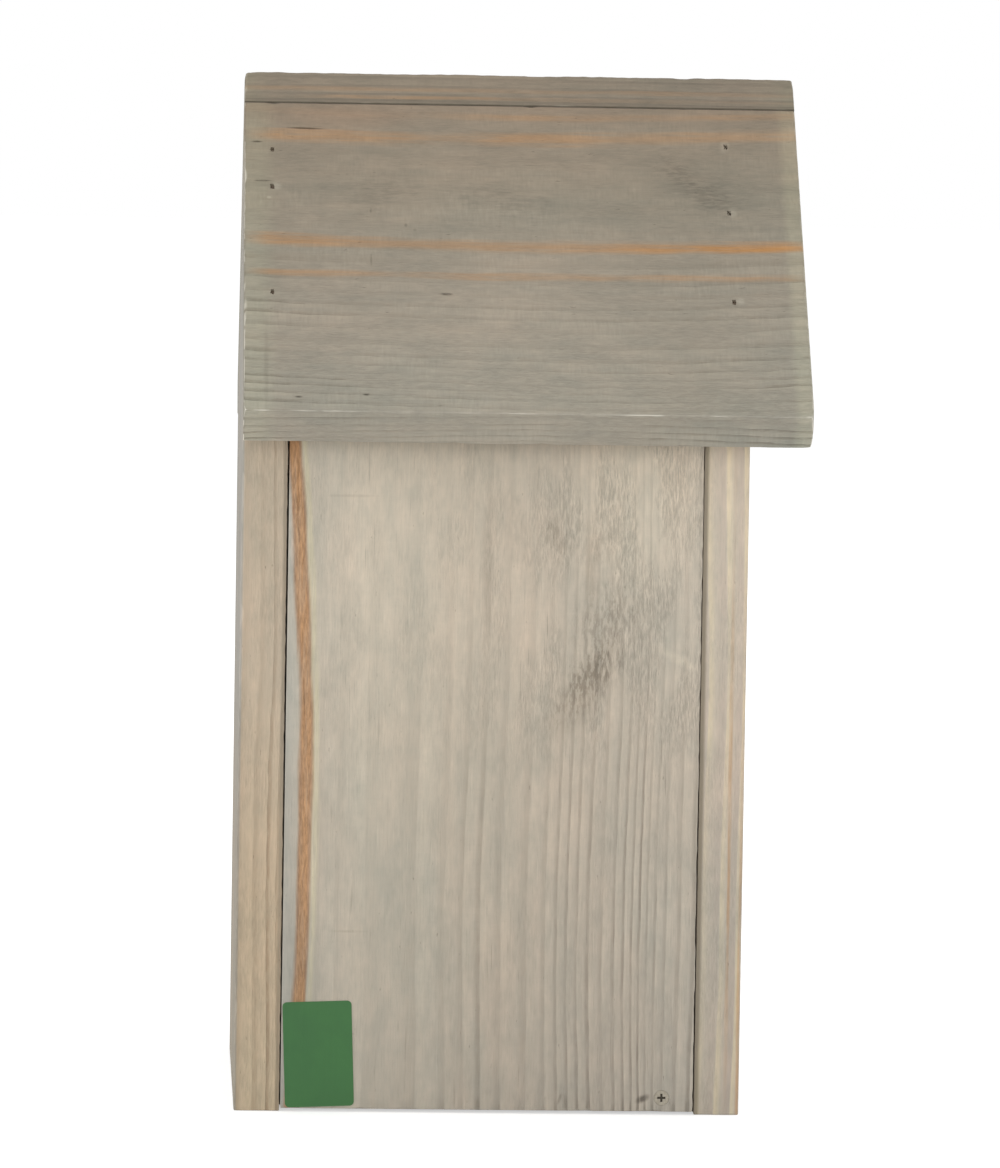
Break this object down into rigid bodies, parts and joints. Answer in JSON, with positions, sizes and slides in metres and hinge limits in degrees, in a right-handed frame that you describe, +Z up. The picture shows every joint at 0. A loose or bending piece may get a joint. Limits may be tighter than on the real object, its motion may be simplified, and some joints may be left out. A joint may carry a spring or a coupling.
{
  "type": "bird nest box",
  "caption": "Gabled wooden bird nest box with a round entrance hole, a side panel that swings out on pivot nails for cleaning, a lock screw and a hanging hole in the back.",
  "frame": {"origin": "on the ground plane, under the middle of the roof's outline", "axes": "+Z up, -Y towards the front with the entrance hole, +Y towards the wall it hangs on, -X towards the cleaning door"},
  "size_m": [0.178, 0.15, 0.277],
  "materials": {
    "wall_wood": "grey washed softwood, sawn, matte",
    "door_wood": "pale grey washed softwood, matte",
    "roof_wood": "darker grey washed softwood, matte",
    "nail_steel": "dull wire steel",
    "screw_steel": "dull zinc under wash",
    "label_green": "plain satin film, blank"
  },
  "bodies": {
    "box": {"back_panel": "wall_wood", "front_panel": "wall_wood", "fixed_side_panel": "wall_wood", "floor_board": "wall_wood", "roof_board_door_side": "roof_wood", "roof_board_fixed_side": "roof_wood", "roof_nails_door_side": "nail_steel", "roof_nails_fixed_side": "nail_steel", "ridge_nails": "nail_steel", "front_side_nails": "nail_steel", "back_side_nails": "nail_steel", "front_floor_nails": "nail_steel", "back_floor_nails": "nail_steel", "side_floor_nails": "nail_steel", "pivot_nail_front": "nail_steel", "pivot_nail_back": "nail_steel"},
    "door": {"side_door": "door_wood", "label": "label_green"},
    "lock": {"lock_screw": "screw_steel"}
  },
  "joints": [
    {"name": "door_swing", "type": "hinge", "parent": "box", "child": "door", "pos_m": [-0.0596, 0, 0.17098], "axis": [0, 1, 0], "range_deg": [0, 90]},
    {"name": "lock_draw", "type": "slide", "parent": "door", "child": "lock", "axis": [-1, 0, 0], "range_m": [0, 0.022]}
  ]
}
